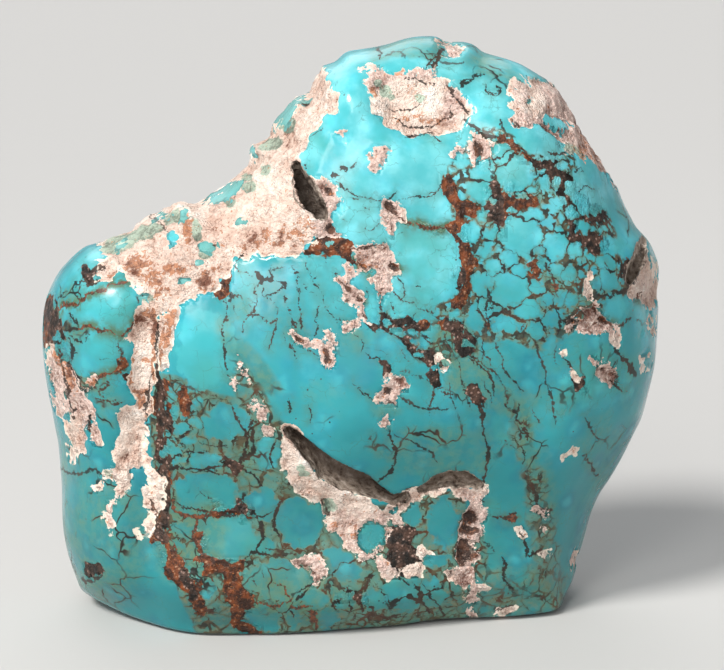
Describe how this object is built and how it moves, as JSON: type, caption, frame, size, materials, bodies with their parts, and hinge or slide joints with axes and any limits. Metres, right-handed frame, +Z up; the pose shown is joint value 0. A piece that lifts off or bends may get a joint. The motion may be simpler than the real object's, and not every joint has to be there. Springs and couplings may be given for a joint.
{
  "type": "raw turquoise nugget",
  "caption": "Large polished natural turquoise nugget with rough pink matrix, dark veins and open crevices, standing on a flat base.",
  "frame": {"origin": "centre of the stone's box at the level of its flat base", "axes": "+Z up, the stone's front faces -Y, +X to its right as seen from the front"},
  "size_m": [0.1864, 0.0778, 0.1737],
  "materials": {
    "turquoise_stone": "polished blue-green turquoise with dark brown and rust veins and rough, recessed pink-cream matrix"
  },
  "bodies": {
    "root": {"turquoise_nugget": "turquoise_stone"}
  },
  "joints": []
}
